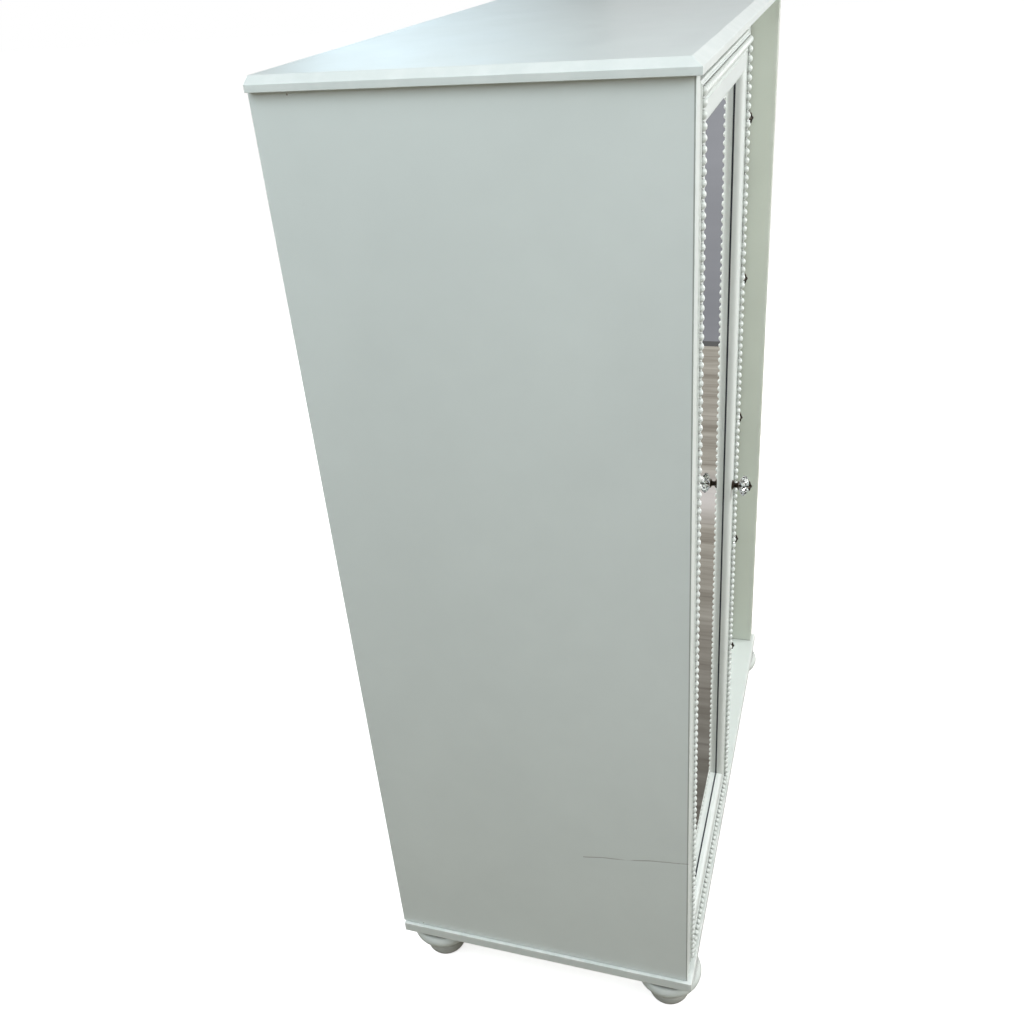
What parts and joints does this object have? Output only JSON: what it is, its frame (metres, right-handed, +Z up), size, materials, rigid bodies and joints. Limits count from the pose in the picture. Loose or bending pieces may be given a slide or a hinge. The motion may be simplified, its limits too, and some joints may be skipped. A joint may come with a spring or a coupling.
{
  "type": "jewelry armoire",
  "caption": "Tall painted jewelry armoire on bun feet, with a pivot-hung bead-framed mirror door over a shelved hanging space and a stack of set-back drawers with cut-glass knobs.",
  "frame": {"origin": "on the floor, under the middle of the whole object's box", "axes": "+Z up, front towards -Y, mirror door on the -X half, drawers on the +X half"},
  "size_m": [0.7928, 0.4314, 1.2112],
  "materials": {
    "paint": "satin white paint on wood board",
    "timber": "bare pale timber",
    "mirror": "silvered mirror glass",
    "backing": "brown hardboard",
    "bronze": "dark antique bronze",
    "crystal": "clear cut glass",
    "steel": "plain steel",
    "nickel": "nickel plated",
    "catch": "white moulded plastic",
    "lining": "grey felt"
  },
  "bodies": {
    "carcass": {"top_board": "paint", "base_board": "paint", "side_panel_left": "paint", "side_panel_right": "paint", "centre_divider": "paint", "back_panel": "paint", "bay_top_rail": "paint", "bay_bottom_rail": "paint", "shelf_lower": "paint", "shelf_upper": "paint", "foot_front_left": "paint", "foot_front_right": "paint", "foot_back_left": "paint", "foot_back_right": "paint", "dust_board_1": "timber", "dust_board_2": "timber", "dust_board_3": "timber", "dust_board_4": "timber", "dust_board_5": "timber", "pivot_plate_top": "steel", "pivot_plate_bottom": "steel", "necklace_hook_bar": "nickel", "magnet_catch": "catch", "shelf_liner_lower": "lining", "shelf_liner_upper": "lining"},
    "door": {"door_stile_left": "paint", "door_stile_right": "paint", "door_rail_top": "paint", "door_rail_bottom": "paint", "beading_left": "paint", "beading_right": "paint", "beading_top": "paint", "beading_bottom": "paint", "mirror_glass": "mirror", "mirror_backing": "backing", "pivot_pin_top": "steel", "pivot_pin_bottom": "steel", "strike_plate": "steel", "door_knob_mount": "bronze", "door_knob_crystal": "crystal"},
    "drawer_1": {"drawer_1_front": "paint", "drawer_1_box": "timber", "drawer_1_knob_mount": "bronze", "drawer_1_knob_crystal": "crystal"},
    "drawer_2": {"drawer_2_front": "paint", "drawer_2_box": "timber", "drawer_2_knob_mount": "bronze", "drawer_2_knob_crystal": "crystal"},
    "drawer_3": {"drawer_3_front": "paint", "drawer_3_box": "timber", "drawer_3_knob_mount": "bronze", "drawer_3_knob_crystal": "crystal"},
    "drawer_4": {"drawer_4_front": "paint", "drawer_4_box": "timber", "drawer_4_knob_mount": "bronze", "drawer_4_knob_crystal": "crystal"},
    "drawer_5": {"drawer_5_front": "paint", "drawer_5_box": "timber", "drawer_5_knob_mount": "bronze", "drawer_5_knob_crystal": "crystal"}
  },
  "joints": [
    {"name": "door_hinge", "type": "hinge", "parent": "carcass", "child": "door", "pos_m": [-0.35, -0.17985, 0.082], "axis": [0, 0, -1], "range_deg": [0, 105]},
    {"name": "drawer_1_slide", "type": "slide", "parent": "carcass", "child": "drawer_1", "axis": [0, -1, 0], "range_m": [0, 0.25]},
    {"name": "drawer_2_slide", "type": "slide", "parent": "carcass", "child": "drawer_2", "axis": [0, -1, 0], "range_m": [0, 0.25]},
    {"name": "drawer_3_slide", "type": "slide", "parent": "carcass", "child": "drawer_3", "axis": [0, -1, 0], "range_m": [0, 0.25]},
    {"name": "drawer_4_slide", "type": "slide", "parent": "carcass", "child": "drawer_4", "axis": [0, -1, 0], "range_m": [0, 0.25]},
    {"name": "drawer_5_slide", "type": "slide", "parent": "carcass", "child": "drawer_5", "axis": [0, -1, 0], "range_m": [0, 0.25]}
  ]
}
